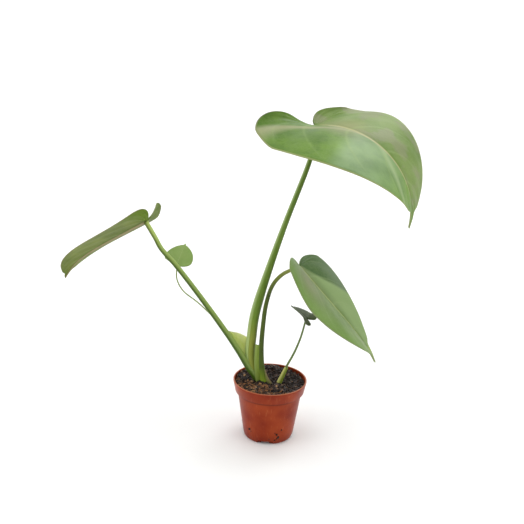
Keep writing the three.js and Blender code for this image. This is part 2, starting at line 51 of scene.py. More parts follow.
# %% Place the camera
import math
import bpy
from mathutils import Matrix, Vector

MM = 0.001
LOOK_DOWN = math.radians(16)
ROLL = math.radians(1.9)
DISTANCE = 545 * MM
TARGET = Vector((-9.7, 0, 148)) * MM

forward = Vector((0, math.cos(LOOK_DOWN), -math.sin(LOOK_DOWN)))
upright = Vector((0, math.sin(LOOK_DOWN), math.cos(LOOK_DOWN)))
sideways = Vector((1, 0, 0))
right = math.cos(ROLL) * sideways + math.sin(ROLL) * upright
up = -math.sin(ROLL) * sideways + math.cos(ROLL) * upright

lens = bpy.data.cameras.new("plant_camera")
lens.lens = 48
lens.sensor_width = 36
lens.dof.use_dof = False
camera = bpy.data.objects.new("plant_camera", lens)
camera.matrix_world = Matrix.Translation(TARGET - DISTANCE * forward) @ Matrix(
    (right, up, -forward)).transposed().to_4x4()
bpy.context.scene.collection.objects.link(camera)
bpy.context.scene.camera = camera
print("camera stands at", [round(c, 3) for c in camera.matrix_world.translation])

# %% [markdown]
# ## The studio
# The plant stands on a pale sheet that curves up behind it, so there is no horizon line. Such a
# sweep is one edge profile, extruded sideways. The light is soft: a bright surrounding that is
# dimmer towards the viewer, which gives stalks and pot their light edges, and panels at the sides
# and above. A window panel high behind the plant lays the waxy shine on the large leaf, and a long
# lamp that faces away from the plant keeps the back of the sheet white. The Standard view shows
# each colour as it was mixed, where the default view would wash out the greens.

# %% Make the sweep
import bmesh


def link_mesh(name, bm, smooth=True):
    """Turns a finished bmesh into an object at the origin."""
    for face in bm.faces:
        face.smooth = smooth
    mesh = bpy.data.meshes.new(name)
    bm.to_mesh(mesh)
    bm.free()
    piece = bpy.data.objects.new(name, mesh)
    bpy.context.scene.collection.objects.link(piece)
    print(f"{name}: {len(mesh.polygons)} faces")
    return piece


def profile_edges(bm, points):
    """A chain of edges through points of (x, y, z) in metres."""
    corners = [bm.verts.new(p) for p in points]
    return [bm.edges.new(pair) for pair in zip(corners, corners[1:])]


SWEEP_DEPTH, SWEEP_BEND, SWEEP_WIDTH = 1.2, 0.6, 8

bm = bmesh.new()
curve = [(-SWEEP_WIDTH / 2, -1.5, 0)]
for step in range(13):
    angle = math.radians(90 * step / 12)
    curve.append((-SWEEP_WIDTH / 2, SWEEP_DEPTH + SWEEP_BEND * math.sin(angle),
                  SWEEP_BEND * (1 - math.cos(angle))))
curve.append((-SWEEP_WIDTH / 2, SWEEP_DEPTH + SWEEP_BEND, 3))
drawn = bmesh.ops.extrude_edge_only(bm, edges=profile_edges(bm, curve))["geom"]
moved = [v for v in drawn if isinstance(v, bmesh.types.BMVert)]
bmesh.ops.translate(bm, verts=moved, vec=(SWEEP_WIDTH, 0, 0))
bmesh.ops.recalc_face_normals(bm, faces=bm.faces)
sweep = link_mesh("studio_sweep", bm)

# %% Set the lights


def panel_light(name, place, aim, width, height, watts):
    """A soft rectangular lamp at place, turned to aim."""
    lamp = bpy.data.lights.new(name, "AREA")
    lamp.shape = "RECTANGLE"
    lamp.size, lamp.size_y, lamp.energy = width, height, watts
    holder = bpy.data.objects.new(name, lamp)
    holder.location = place
    direction = Vector(aim) - Vector(place)
    holder.rotation_euler = direction.to_track_quat("-Z", "Y").to_euler()
    bpy.context.scene.collection.objects.link(holder)
    print(name, watts, "W")


panel_light("left_panel", (-0.9, -0.4, 0.6), (0, 0, 0.15), 0.6, 1, 2.5)
panel_light("right_panel", (0.9, -0.3, 0.55), (0, 0, 0.15), 0.6, 1, 2)
panel_light("top_panel", (-0.1, 0, 1.2), (0, 0, 0.1), 0.9, 0.9, 3)
panel_light("window_panel", (0.55, 0.75, 1.1), (0.06, 0, 0.24), 0.6, 0.5, 2.8)
panel_light("backdrop_panel", (0, 0.6, 1), (0, 1.8, 0.55), 3, 0.4, 10)

ROOM_AT_VIEWER, ROOM_BEHIND = 0.55, 1.05
surroundings = bpy.data.worlds.new("pale_room")
surroundings.use_nodes = True
room = surroundings.node_tree
direction = room.nodes.new("ShaderNodeTexCoord")
apart = room.nodes.new("ShaderNodeSeparateXYZ")
strength = room.nodes.new("ShaderNodeMapRange")
for socket, value in {"From Min": -1, "From Max": 0.3, "To Min": ROOM_AT_VIEWER,
                      "To Max": ROOM_BEHIND}.items():
    strength.inputs[socket].default_value = value
room.links.new(direction.outputs["Generated"], apart.inputs[0])
room.links.new(apart.outputs["Y"], strength.inputs["Value"])
room.links.new(strength.outputs[0], room.nodes["Background"].inputs["Strength"])
room.nodes["Background"].inputs["Color"].default_value = (1, 1, 1, 1)
bpy.context.scene.world = surroundings
bpy.context.scene.view_settings.view_transform = "Standard"

# %% [markdown]
# ## Materials from nodes
# Every finish is a Principled shader fed by a few pattern nodes. Wiring nodes by hand fills pages,
# so a small class keeps it short: it adds a node, sets its values, and joins what it is given.

# %% A small node helper


class Finish:
    """A material whose nodes are added one call at a time. Its base colour is joined last."""

    def __init__(self, name, roughness=0.5, **uniform):
        self.material = bpy.data.materials.new(name)
        self.material.use_nodes = True
        self.tree = self.material.node_tree
        self.shader = self.tree.nodes["Principled BSDF"]
        self.shader.inputs["Roughness"].default_value = roughness
        for socket, value in uniform.items():
            self.shader.inputs[socket.replace("_", " ")].default_value = value

    def add(self, kind, output=0, settings=None, **inputs):
        node = self.tree.nodes.new("ShaderNode" + kind)
        for name, value in (settings or {}).items():
            setattr(node, name, value)
        for name, value in inputs.items():
            socket = node.inputs[int(name[1:])] if name[1:].isdigit() else node.inputs[name]
            if isinstance(value, bpy.types.NodeSocket):
                self.tree.links.new(value, socket)
            else:
                socket.default_value = value
        return node.outputs[output]

    def math(self, operation, a, b=0, c=0):
        return self.add("Math", settings={"operation": operation}, _0=a, _1=b, _2=c)

    def times(self, a, b):
        return self.math("MULTIPLY", a, b)

    def times_plus(self, a, factor, extra):
        return self.math("MULTIPLY_ADD", a, factor, extra)

    def apart(self, a, b):
        """How far two numbers are apart."""
        return self.math("ABSOLUTE", self.math("SUBTRACT", a, b))

    def ramp(self, value, stops):
        """Blends from one colour to the next as value goes through the stops."""
        node = self.tree.nodes.new("ShaderNodeValToRGB")
        self.tree.links.new(value, node.inputs[0])
        elements = node.color_ramp.elements
        while len(elements) < len(stops):
            elements.new(0.5)
        for element, (place, colour) in zip(elements, stops):
            element.position = place
            element.color = (*colour, 1)
        return node.outputs[0]

    def between(self, value, *stops):
        """A factor from 0 to 1 that follows the (place, amount) stops."""
        return self.ramp(value, [(place, (amount,) * 3) for place, amount in stops])

    def mix(self, share, a, b):
        a, b = [c if isinstance(c, bpy.types.NodeSocket) else (*c, 1) for c in (a, b)]
        return self.add("Mix", 2, {"data_type": "RGBA"}, _0=share, _6=a, _7=b)

    def lay(self, share, colour, within=None):
        """Lays a colour over the base by a share from 0 to 1, and only within a second one."""
        if within is not None:
            share = self.times(share, within)
        self.base = self.mix(share, self.base, colour)
        return self

    def noise(self, scale, detail=3, stretch=(1, 1, 1)):
        place = self.add("Mapping", Vector=self.place(), Scale=stretch)
        return self.add("TexNoise", Vector=place, Scale=scale, Detail=detail)

    def place(self):
        return self.add("TexCoord", output="Object")

    def uv(self):
        apart = self.add("SeparateXYZ", Vector=self.add("TexCoord", output="UV")).node
        return apart.outputs[0], apart.outputs[1]

    def feed(self, socket, value):
        self.tree.links.new(value, self.shader.inputs[socket])

    def bump(self, height, distance):
        self.feed("Normal", self.add("Bump", Height=height, Distance=distance, Strength=1))


def paint(piece, *finishes):
    piece.data.materials.clear()
    for finish in finishes:
        finish.feed("Base Color", finish.base)
        piece.data.materials.append(finish.material)
    print(piece.name, "has the finish", finishes[0].material.name)


# %% The sheet of the sweep
pale_sheet = Finish("pale_sheet", roughness=0.9)
pale_sheet.base = pale_sheet.between(pale_sheet.noise(3), (0.3, 0.93), (0.7, 0.96))
paint(sweep, pale_sheet)

# %% [markdown]
# ## A leaf, from flat to hanging
# Each blade starts as the same heart-shaped outline, drawn flat as half a leaf. A flat grid is
# stretched over each half, from the midrib to the margin, and a rule then hangs it: the midrib
# follows a drooping line, and each half leaves it at a fold and curls towards its margin. Modelling
# each leaf by hand would hide that they all grew by one plan.

# %% Smooth lines through a few points


def spline_point(points, at):
    """A point on the smooth curve through the points, with at from 0 to 1."""
    last = len(points) - 1
    i = min(int(at * last), last - 1)
    here = at * last - i
    p1, p2 = Vector(points[i]), Vector(points[i + 1])
    p0 = Vector(points[i - 1]) if i > 0 else 2 * p1 - p2
    p3 = Vector(points[i + 2]) if i + 2 <= last else 2 * p2 - p1
    d0, d1, d2 = [max(math.sqrt((b - a).length), 1e-3) for a, b in ((p0, p1), (p1, p2), (p2, p3))]
    leave = ((p1 - p0) / d0 - (p2 - p0) / (d0 + d1) + (p2 - p1) / d1) * d1
    arrive = ((p2 - p1) / d1 - (p3 - p1) / (d1 + d2) + (p3 - p2) / d2) * d1
    h2, h3 = here ** 2, here ** 3
    return (p1 * (2 * h3 - 3 * h2 + 1) + leave * (h3 - 2 * h2 + here)
            + arrive * (h3 - h2) + p2 * (3 * h2 - 2 * h3))


def mix(a, b, share):
    return a + (b - a) * share


def smoothstep(x, low, high):
    share = min(max((x - low) / (high - low), 0), 1)
    return share * share * (3 - 2 * share)


# %% One half of a blade laid flat
# Distance along the midrib in leaf lengths, and distance out from it in half-widths.
HALF_OUTLINE = [
    (-0.03, 0.022), (-0.1, 0.095), (-0.175, 0.185), (-0.235, 0.32), (-0.25, 0.5), (-0.2, 0.7),
    (-0.09, 0.88), (0.06, 0.985), (0.22, 1), (0.38, 0.92), (0.54, 0.75), (0.69, 0.52),
    (0.78, 0.34), (0.845, 0.205), (0.875, 0.1), (0.93, 0.06), (1, 0),
]
OUTLINE = [(x, y, 0) for x, y in HALF_OUTLINE]
SINUS_FOOT = 0.12
LOBE_REACH = 0.25
LOBE_BLEND = 0.35
print(len(HALF_OUTLINE), "points draw half a leaf")

# %% The leaves of this plant
# Lengths in millimetres and angles in degrees. Each half has its own width, fullness, fold, curl,
# extra fold at the lobe, and share of the width and of the length at the lobe.
LEAVES = {
    "large_leaf": dict(
        junction=(27.9, 15, 253), length=125, lobe=22, heading=-44.5, sweep=35.1,
        pitch=8.8, droop=108, power=1.21, lift=80, roll=10.3, twist=2.2,
        left=(57.2, 0.32, 6.3, -16, 11.2, 0.79, 0.81),
        right=(69.8, 0.19, 9.5, -19.9, 24.6, 0.96, 0.63),
        rows=120, columns=26, veins=11, relief=0.35),
    "left_leaf": dict(
        junction=(-100.5, 2, 177.1), length=113, lobe=19, heading=148.5, sweep=0,
        pitch=-29, droop=32, power=4.7, lift=36.5, roll=1.8, twist=0,
        left=(24.7, 0.71, 15, -13.9, 2.5, 1.18, 0.84),
        right=(30.3, 0.39, 11.1, -8, 38.3, 0.81, 0.55),
        rows=100, columns=18, veins=11, relief=0.3),
    "right_leaf": dict(
        junction=(19.1, -14, 149.5), length=94, lobe=7, heading=-25.5, sweep=19,
        pitch=-43.5, droop=19.5, power=3.9, lift=-5, roll=-12, twist=19.5,
        left=(38.7, -0.27, 13.5, -2, -1, 1, 0.79),
        right=(50.4, 0.3, 20.1, -40, 1.3, 0.8, 0.96),
        rows=100, columns=20, veins=10, relief=0.3),
    "young_leaf": dict(
        junction=(26.9, -4, 104.3), length=16, lobe=6.5, heading=154.5, sweep=0,
        pitch=30.4, droop=-1, power=1.3, lift=4, roll=7.7, twist=13.5,
        left=(10.3, 0, 21, -11.4, -35, 0.8, 1), right=(10.6, 0, 18.6, -17.2, 32, 0.9, 1),
        rows=48, columns=10, veins=7, relief=0.08),
    "back_leaf": dict(
        junction=(-77.5, 14, 140.9), length=25.4, lobe=4.3, heading=79, sweep=1.6,
        pitch=28.7, droop=10, power=1.3, lift=14, roll=9.3, twist=-0.7,
        left=(11.3, 0.05, 15, -11, 18, 1, 1), right=(11.3, 0.05, 9.3, -12, 6.7, 1, 1),
        rows=48, columns=10, veins=8, relief=0.06),
}
print("leaves:", ", ".join(LEAVES))

# %% Hang the midrib
SPINE_STEPS = 120


def hang_midrib(leaf):
    """Returns a rule that gives the midrib's place, its left and its upward direction."""
    step = (leaf["length"] + leaf["lobe"]) / SPINE_STEPS
    place, stations, before = Vector(), [], None
    for i in range(SPINE_STEPS + 1):
        x = i * step - leaf["lobe"]
        along = max(x, 0) / leaf["length"]
        drop = leaf["droop"] * along ** leaf["power"] - leaf["lift"] * min(x, 0) / leaf["lobe"]
        pitch = math.radians(leaf["pitch"] - drop)
        heading = math.radians(leaf["heading"] + leaf["sweep"] * along)
        roll = math.radians(leaf["roll"] + leaf["twist"] * x / leaf["length"])
        ahead = Vector((math.cos(heading) * math.cos(pitch),
                        math.sin(heading) * math.cos(pitch), math.sin(pitch)))
        side = Vector((-math.sin(heading), math.cos(heading), 0))
        over = ahead.cross(side)
        if before:
            place = place + (before + ahead) * step / 2
        before = ahead
        stations.append((place, side * math.cos(roll) + over * math.sin(roll),
                         over * math.cos(roll) - side * math.sin(roll)))

    def sample(x):
        at = min(max((x + leaf["lobe"]) / step, 0), SPINE_STEPS)
        i = min(int(at), SPINE_STEPS - 1)
        return [a.lerp(b, at - i) for a, b in zip(stations[i], stations[i + 1])]

    shift = Vector(leaf["junction"]) - sample(0)[0]

    def rule(x):
        spot, left, above = sample(x)
        return spot + shift, left, above

    return rule


# %% Fold and curl the halves


def blade_point(leaf, midrib, half, row, share):
    """A point of the blade, in millimetres: row runs round the margin, share goes out to it."""
    width, fullness, fold, curl, lobe_fold, lobe_width, lobe_length = leaf[
        "left" if half > 0 else "right"]
    edge = spline_point(OUTLINE, row)
    if edge.x < 0:
        x = edge.x / LOBE_REACH * leaf["lobe"] * lobe_length
    else:
        x = (edge.x + fullness * edge.x * (1 - edge.x)) * leaf["length"]
    narrow = mix(lobe_width, 1, smoothstep(x, -leaf["lobe"], LOBE_BLEND * leaf["length"]))
    foot = max(0, edge.x - SINUS_FOOT) / (1 - SINUS_FOOT) * leaf["length"]
    x = mix(foot, x, share)
    y = max(edge.y, 0) * width * narrow * share
    reach = SINUS_FOOT * leaf["length"]
    backward = smoothstep(reach - x, 0, reach + leaf["lobe"])
    start = math.radians(fold + lobe_fold * backward)
    bend = math.radians(curl) / width
    outward = (math.sin(start + bend * y) - math.sin(start)) / bend
    upward = (math.cos(start) - math.cos(start + bend * y)) / bend
    spot, left, above = midrib(x)
    return spot + left * (half * outward) + above * upward


# %% [markdown]
# ## Bending a grid
# Blades, stalks, sheaths and the scale leaf are all a flat grid that has been bent. The grid
# operator makes the faces and gives each corner its place on the UV map, and a rule for each piece
# moves the corners to where they belong. The UV map stays flat, so patterns such as veins follow
# the surface.

# %% Bend a grid by a rule
MERGE_DISTANCE = 0.002 * MM


def bend_grid(bm, rows, columns, rule, mirrored=False):
    """Adds a grid to bm and moves each corner by rule(u, v). Returns the new corners with u, v."""
    sheet = bm.loops.layers.uv.get("UVMap") or bm.loops.layers.uv.new("UVMap")
    made = bmesh.ops.create_grid(bm, x_segments=rows, y_segments=columns, size=0.5)["verts"]
    flat = {v: (v.co.x + 0.5, v.co.y + 0.5) for v in made}
    faces = {face for v in made for face in v.link_faces}
    for face in faces:
        for loop in face.loops:
            u, v = flat[loop.vert]
            loop[sheet].uv = (u, 0.5 - v / 2 if mirrored else 0.5 + v / 2)
    for corner, (u, v) in flat.items():
        corner.co = rule(u, v) * MM
    if mirrored:
        bmesh.ops.reverse_faces(bm, faces=list(faces))
    return flat


# %% [markdown]
# ## The blades
# A blade of this kind is leathery and about half a millimetre thick. Its midrib is sunken on top
# and stands out as a tapering ridge below, and the blade is slightly quilted between the side
# veins. The quilting moves the corners of the sheet, and a Solidify modifier gives the thickness:
# a vertex group makes it thicker under the midrib, and the underside gets its own material.

# %% Where the veins run
VEIN_LEAN = 0.1
MIDRIB_WIDTH = 0.06
VEIN_RELIEF, GROOVE_RELIEF = 0.5, 1.2


def vein_wave(leaf, row, share):
    """1 on a side vein and -1 halfway between two."""
    return math.cos(2 * math.pi * leaf["veins"] * (row - VEIN_LEAN * share * share))


def quilting(leaf, row, share):
    """How far the blade stands above its sheet, in millimetres."""
    fade = smoothstep(share, 0.02, 0.25) * (1 - smoothstep(share, 0.75, 0.97))
    groove = 1 - smoothstep(share, 0, MIDRIB_WIDTH)
    wave = VEIN_RELIEF * vein_wave(leaf, row, share) * fade
    return -leaf["relief"] * (wave + GROOVE_RELIEF * groove)


# %% Build the blades
BLADE_THICKNESS = 0.55
MIDRIB_THICKNESS = 1.7
FULL_RIB_FROM_WIDTH = 40
RIB_TAPER = 0.8


def rib_scale(leaf):
    """Small blades have a thinner midrib."""
    return min(1, leaf["left"][0] / FULL_RIB_FROM_WIDTH)


def build_blade(name):
    leaf = LEAVES[name]
    midrib = hang_midrib(leaf)
    bm = bmesh.new()
    raised = bm.verts.layers.float.new("raised")
    depth = bm.verts.layers.float.new("depth")
    for half in (1, -1):
        flat = bend_grid(
            bm, leaf["rows"], leaf["columns"],
            lambda row, share: blade_point(leaf, midrib, half, row, share), half < 0)
        for corner, (row, share) in flat.items():
            corner[raised] = quilting(leaf, row, share)
            corner[depth] = (1 - smoothstep(share, 0, MIDRIB_WIDTH)) * (1 - RIB_TAPER * row)
    bmesh.ops.remove_doubles(bm, verts=bm.verts, dist=MERGE_DISTANCE)
    bm.normal_update()
    lifts = {v: v.normal * v[raised] * MM for v in bm.verts}
    for corner, lift in lifts.items():
        corner.co += lift
    depths = [v[depth] for v in bm.verts]
    blade = link_mesh(name + "_blade_surface", bm)
    thickness = blade.vertex_groups.new(name="thickness")
    thin = BLADE_THICKNESS / MIDRIB_THICKNESS
    for i, amount in enumerate(depths):
        thickness.add([i], mix(thin, 1, amount * rib_scale(leaf)), "REPLACE")
    solid = blade.modifiers.new("thickness", "SOLIDIFY")
    solid.thickness = MIDRIB_THICKNESS * MM
    solid.offset = -1
    solid.vertex_group = "thickness"
    solid.material_offset = 1
    solid.material_offset_rim = 0
    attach(blade, "root")
    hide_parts(name + "_blade")
    return blade


blades = {name: build_blade(name) for name in LEAVES}

# %% [markdown]
# ## The stalks
# A stalk is a grid rolled into a tube along a smooth line, closed at both ends. The lowest part of
# the larger stalks is a sheath: it is wider, with an edge that runs down one side.

# %% The stalks of this plant
# Points of the centre line and the radius there, in millimetres.
STALKS = {
    "left_leaf": dict(path=[
        (-8.5, -1, 43, 2.6), (-12.2, -0.8, 51.2, 2.9), (-18.3, -0.4, 59.7, 2.9),
        (-24.7, 0, 70.2, 2.6), (-35.1, 0, 86, 2.3), (-57.9, 0, 118.1, 2.1),
        (-76.8, 0, 142.9, 2), (-88.5, 0.5, 156.2, 1.9), (-92.9, 1, 164.2, 1.85)],
        top=1.9, depth=1),
    "large_leaf": dict(path=[
        (-8.5, 0, 43, 3), (-11.5, 0.4, 51, 3.4), (-15.4, 1.2, 61, 3.8), (-16.8, 2, 70, 4),
        (-16, 2, 85.3, 4), (-14.5, 2, 100.6, 3.9), (-11.2, 2, 116, 3.7), (-4.2, 3, 141, 3),
        (7, 5, 177, 2.3), (23.7, 10, 225, 1.9), (26.5, 12, 236.2, 1.8)],
        top=1.6, depth=0.85),
    "right_leaf": dict(path=[
        (-4.6, -2.8, 43, 3.6), (-5.2, -3, 48, 3.4), (-6.4, -3.2, 55, 2.7), (-7.5, -3.6, 64, 2.3),
        (-8, -4, 78, 2), (-7.2, -5, 97, 1.8), (-5.3, -7, 116, 1.7), (-0.6, -10, 133, 1.6),
        (6.7, -12, 142.4, 1.5)],
        top=1.4, depth=1),
    "young_leaf": dict(path=[
        (5, -4, 41, 1), (7, -4, 47.2, 0.95), (12.7, -3.3, 61.2, 0.9), (18.6, -3, 73.8, 0.85),
        (23, -3.5, 86.6, 0.8), (25.3, -4, 96.7, 0.75)],
        top=0.75, depth=1),
    "back_leaf": dict(path=[
        (-12, 8, 41, 0.65), (-13.2, 7.6, 46.6, 0.6), (-17.5, 8, 53.2, 0.6), (-24.5, 9, 65, 0.6),
        (-33.9, 10, 79.4, 0.6), (-42.3, 11, 90.9, 0.6), (-52.2, 12, 100.7, 0.55),
        (-61.1, 13, 108.5, 0.55), (-73.2, 14, 117.9, 0.55), (-78, 14, 127.8, 0.55)],
        top=0.55, depth=1),
}

# %% Roll the stalks
TUBE_SIDES = 28
TUBE_ROWS_PER_SPAN = 8
LOOK_AHEAD = 0.005


def stalk_line(name):
    """The stalk's path, ended just under the blade, as a rule for centre, radius, directions."""
    leaf = LEAVES[name]
    spot, _, above = hang_midrib(leaf)(0)
    end = spot - above * (MIDRIB_THICKNESS * rib_scale(leaf) * 0.5)
    path = STALKS[name]["path"] + [(*end, STALKS[name]["top"])]
    centres = [p[:3] for p in path]

    def rule(at):
        centre = spline_point(centres, at)
        ahead = (spline_point(centres, min(at + LOOK_AHEAD, 1))
                 - spline_point(centres, max(at - LOOK_AHEAD, 0))).normalized()
        i = min(int(at * (len(path) - 1)), len(path) - 2)
        radius = mix(path[i][3], path[i + 1][3], at * (len(path) - 1) - i)
        across = ahead.cross(Vector((0, 1, 0))).normalized()
        return centre, radius, across, ahead.cross(across), ahead

    return rule, len(path) - 1


def build_stalk(name, shape=lambda turn, at: 1):
    line, spans = stalk_line(name)
    depth = STALKS[name]["depth"]

    def rule(at, turn):
        centre, radius, across, deep, _ = line(at)
        angle = 2 * math.pi * turn
        size = radius * shape(turn, at)
        return centre + across * size * math.cos(angle) + deep * depth * size * math.sin(angle)

    bm = bmesh.new()
    bend_grid(bm, spans * TUBE_ROWS_PER_SPAN, TUBE_SIDES, rule)
    bmesh.ops.remove_doubles(bm, verts=bm.verts, dist=MERGE_DISTANCE)
    open_ends = [edge for edge in bm.edges if edge.is_boundary]
    bmesh.ops.holes_fill(bm, edges=open_ends)
    bmesh.ops.recalc_face_normals(bm, faces=bm.faces)
    stalk = link_mesh(name + "_stalk_surface", bm)
    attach(stalk, "root")
    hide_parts(name + "_stalk")
    return stalk


WRAP_EDGE, WRAP_HEIGHT = 0.205, 0.07


def wrapped(turn, at):
    """A low ridge where the stalk's own sheath ends, fading out up the stalk."""
    step = smoothstep(turn, WRAP_EDGE - 0.02, WRAP_EDGE) * (1 - smoothstep(turn, WRAP_EDGE, 0.5))
    return 1 + WRAP_HEIGHT * step * (1 - smoothstep(at, 0.3, 0.5))


stalks = {name: build_stalk(name, wrapped) if name == "large_leaf" else build_stalk(name)
          for name in STALKS}

# %% [markdown]
# ## Sheaths and the scale leaf
# The left stalk has a thin wing that wraps round the next stalk, the right stalk has a narrow
# sheath edge, with a dried brown strip where an older sheath withered, and a papery scale leaf
# stands round the foot of the young leaf's stalk. They are thin sheets, so each is one bent grid
# with a Solidify modifier.

# %% Bend the sheaths
SHEATHS = {
    "left_leaf": dict(
        on_stalk=[(-11, 0, 48), (-18.3, 0.4, 59.5), (-24.7, 0.6, 70.2), (-33.8, 0.6, 88)],
        free_edge=[(-6, 4.6, 48), (-9, 7.2, 58), (-13.5, 8.8, 70), (-18, 8.2, 79.5),
                   (-25.9, 4.5, 86), (-33.2, 1, 88.6)],
        bulge=(-1.2, 2.2, 0)),
    "right_leaf": dict(
        on_stalk=[(-6.2, -3.6, 46), (-7.2, -3.8, 57), (-8, -4.2, 67), (-8.3, -4.6, 80.5)],
        free_edge=[(-11, -4.2, 46), (-12.6, -3.6, 56), (-13.3, -3.2, 68), (-12.7, -3.6, 80.3)],
        bulge=(0, -1, 0)),
    "dried": dict(
        on_stalk=[(-5, -4.6, 59), (-3.9, -5.2, 54), (-2.8, -5.8, 50), (-1.8, -6.2, 46.5)],
        free_edge=[(-4.2, -5, 58.6), (-2.2, -5.8, 53.6), (0.4, -6.6, 50), (3, -7.2, 46.5)],
        bulge=(0, -0.7, 0)),
}
SHEATH_THICKNESS = 0.5


def thin_sheet(name, rows, columns, rule):
    bm = bmesh.new()
    bend_grid(bm, rows, columns, rule)
    sheet = link_mesh(name, bm)
    solid = sheet.modifiers.new("thickness", "SOLIDIFY")
    solid.thickness = SHEATH_THICKNESS * MM
    solid.offset = 0
    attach(sheet, "root")
    return sheet


def build_sheath(name):
    sheath = SHEATHS[name]

    def rule(at, share):
        inner = spline_point(sheath["on_stalk"], at)
        outer = spline_point(sheath["free_edge"], at)
        return inner.lerp(outer, share) + Vector(sheath["bulge"]) * math.sin(math.pi * share)

    return thin_sheet(name + "_sheath", 40, 12, rule)


sheaths = {name: build_sheath(name) for name in SHEATHS}

# %% Roll the scale leaf
young_line, young_spans = stalk_line("young_leaf")
SCALE_BASE, SCALE_TIP, SCALE_OPENING, SCALE_FACES = 3.1, 1.55, 110, 200
SCALE_FOOT, SCALE_TOP = 0.15, 2


def scale_rule(along, turn):
    at = mix(SCALE_FOOT, SCALE_TOP, along) / young_spans
    centre, _, across, _, _ = young_line(at)
    angle = math.radians(SCALE_FACES + (turn - 0.5) * (360 - SCALE_OPENING))
    radius = mix(SCALE_BASE, SCALE_TIP, along)
    return centre + (across * math.cos(angle) + Vector((0, 1, 0)) * math.sin(angle)) * radius


scale_leaf = thin_sheet("young_leaf_scale_surface", 30, 24, scale_rule)
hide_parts("young_leaf_scale")

# %% [markdown]
# ## The pot
# A nursery pot is moulded in one shot: a thin wall, a flared collar that stiffens the rim, and a
# foot with notches that let water out. It is turned from one profile with the spin operator, its
# sharp rings are bevelled, and a Boolean cuts the notches and the drain holes.

# %% Turn the pot
POT_HEIGHT, RIM_RADIUS, WALL, RIM_LIP = 49, 30, 1.1, 1.5
COLLAR_BOTTOM, COLLAR_RADIUS, SHOULDER, BODY_TOP_RADIUS = 39.5, 28.2, 37.3, 26
BASE_RADIUS, FOOT_INSIDE, PLATE_UNDERSIDE, PLATE_TOP = 20.6, 17.6, 1.5, 2.7
INNER_BASE = BASE_RADIUS - WALL + 0.1
POT_PROFILE = [
    (0, PLATE_UNDERSIDE), (FOOT_INSIDE, PLATE_UNDERSIDE), (FOOT_INSIDE, 0), (18.6, 0),
    (20, 0.6), (BASE_RADIUS, 2), (20.97, 4.4), (25.7, 35.4), (BODY_TOP_RADIUS, SHOULDER),
    (26.3, 38.9), (26.7, 39.4), (COLLAR_RADIUS, COLLAR_BOTTOM), (29.85, POT_HEIGHT - RIM_LIP),
    (RIM_RADIUS, POT_HEIGHT - 0.9),
    (RIM_RADIUS, POT_HEIGHT), (RIM_RADIUS - WALL, POT_HEIGHT),
    (RIM_RADIUS - WALL, POT_HEIGHT - RIM_LIP), (COLLAR_RADIUS - WALL, COLLAR_BOTTOM),
    (BODY_TOP_RADIUS - WALL, SHOULDER), (INNER_BASE, PLATE_TOP), (0, PLATE_TOP),
]
SHARP_RING, RING_BEVEL = math.radians(28), 0.25
POT_STEPS = 144


def turn_profile(bm, profile, steps):
    """Spins a profile of (radius, height) points round the upright axis."""
    edges = profile_edges(bm, [(r * MM, 0, z * MM) for r, z in profile])
    corners = list({v for edge in edges for v in edge.verts})
    bmesh.ops.spin(bm, geom=corners + edges, cent=(0, 0, 0), axis=(0, 0, 1),
                   angle=2 * math.pi, steps=steps, use_merge=True, use_duplicate=False)
    bmesh.ops.remove_doubles(bm, verts=bm.verts, dist=MERGE_DISTANCE)
    bmesh.ops.recalc_face_normals(bm, faces=bm.faces)


bm = bmesh.new()
turn_profile(bm, POT_PROFILE, POT_STEPS)
sharp = [edge for edge in bm.edges
         if len(edge.link_faces) == 2 and edge.calc_face_angle() > SHARP_RING]
bmesh.ops.bevel(bm, geom=sharp, offset=RING_BEVEL * MM, affect="EDGES", segments=2,
                profile=0.5, material=-1)
pot = link_mesh("pot_surface", bm)

# %% Cut the notches and the drain holes
NOTCH_ANGLES = [-97, -7, 83, 173]
NOTCH_WIDTH, NOTCH_HEIGHT = 12.4, 2.9
DRAIN_CIRCLE, DRAIN_RADIUS, DRAIN_CUT = 11, 2.5, 12

bm = bmesh.new()
for angle in NOTCH_ANGLES:
    block = bmesh.ops.create_cube(bm, size=1)["verts"]
    bmesh.ops.scale(bm, vec=Vector((BASE_RADIUS, NOTCH_WIDTH, 2 * NOTCH_HEIGHT)) * MM, verts=block)
    bmesh.ops.translate(bm, vec=((BASE_RADIUS / 2 + FOOT_INSIDE - 0.3) * MM, 0, 0), verts=block)
    bmesh.ops.rotate(bm, cent=(0, 0, 0), verts=block,
                     matrix=Matrix.Rotation(math.radians(angle), 3, "Z"))
    hole = bmesh.ops.create_cone(bm, cap_ends=True, segments=32, radius1=DRAIN_RADIUS * MM,
                                 radius2=DRAIN_RADIUS * MM, depth=DRAIN_CUT * MM)["verts"]
    turn = Matrix.Rotation(math.radians(angle + 45), 3, "Z")
    bmesh.ops.translate(bm, vec=turn @ Vector((DRAIN_CIRCLE * MM, 0, 0)), verts=hole)
cutter = link_mesh("notch_cutter", bm)

cut = pot.modifiers.new("notches", "BOOLEAN")
cut.operation = "DIFFERENCE"
cut.object = cutter
cut.solver = "EXACT"
bpy.context.view_layer.update()
shown = pot.evaluated_get(bpy.context.evaluated_depsgraph_get())
pot.data = bpy.data.meshes.new_from_object(shown)
pot.modifiers.clear()
pot.data.set_sharp_from_angle(angle=SHARP_RING)
bpy.data.objects.remove(cutter)
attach(pot, "root")
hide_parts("pot")
print("pot:", len(pot.data.polygons), "faces after cutting")

# %% [markdown]
# ## The soil
# Potting soil is dark, moist and crumbly, with tan bark chips at the front left and light rootlets
# on top. The body is a turned profile whose top is pushed up and down by noise. The chips and
# crumbs are cubes with uneven corners, each kept to six faces because there are hundreds.

# %% Turn the soil
import random
from mathutils import noise

